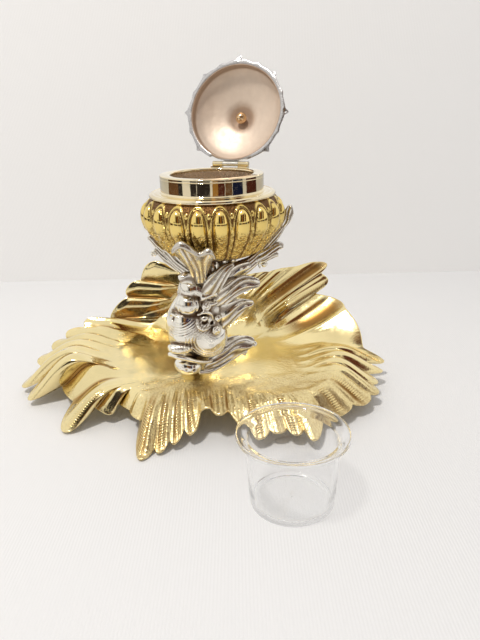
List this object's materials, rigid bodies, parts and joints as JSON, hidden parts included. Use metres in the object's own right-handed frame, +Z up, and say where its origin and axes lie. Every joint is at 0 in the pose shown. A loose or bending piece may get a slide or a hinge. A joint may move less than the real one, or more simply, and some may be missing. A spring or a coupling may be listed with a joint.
{
  "type": "inkwell",
  "caption": "Parcel-gilt silver inkwell: a grotesque dolphin carries a gadrooned ink bowl with a hinged domed lid over a rocaille shell tray, with its loose glass liner.",
  "frame": {"origin": "centre of the closing plate's underside, on the surface that the inkwell stands on", "axes": "+Z up along the ink well's bore; +X to the longer wing of the shell tray; +Y to the tray's high back, away from the dolphin's face"},
  "size_m": [0.2079, 0.1781, 0.1726],
  "materials": {
    "gilt": "polished and chased silver-gilt",
    "silver": "cast silver with darkened recesses",
    "lid_silver": "silver dome, satin, with a thin gilt wash inside",
    "fixings": "plain turned metal",
    "clear_glass": "clear thin glass, polished rim"
  },
  "bodies": {
    "stand": {"shell_tray": "gilt", "foot_ring": "gilt", "base_plate": "gilt", "bowl_foot": "gilt", "gadroon_bowl": "gilt", "well_sleeve": "gilt", "shoulder_ring": "gilt", "collar_drum": "gilt", "rim_ring": "gilt", "collar_hinge_leaf": "gilt", "dolphin_body": "silver", "crest_leaf": "silver", "gill_fin_right": "silver", "gill_fin_left": "silver", "pectoral_fin_right": "silver", "pectoral_fin_left": "silver", "tail_frond_right": "silver", "tail_frond_left": "silver", "tail_frond_back": "silver", "base_screws": "fixings", "dolphin_stud": "fixings", "stud_washer": "fixings", "stud_nut": "fixings", "bowl_screw": "fixings", "hinge_pin": "fixings"},
    "lid": {"lid_dome": "lid_silver", "lid_border": "silver", "lid_hinge_leaf": "silver", "finial_bud": "silver", "finial_nut": "gilt"},
    "liner": {"glass_liner": "clear_glass"}
  },
  "joints": [
    {"name": "lid_hinge", "type": "hinge", "parent": "stand", "child": "lid", "pos_m": [0.01869, -0.00113, 0.1223], "axis": [0.9397, -0.342, 0], "range_deg": [0, 110]},
    {"name": "liner_lift", "type": "slide", "parent": "stand", "child": "liner", "axis": [0, 0, 1], "range_m": [0, 0.06]}
  ]
}
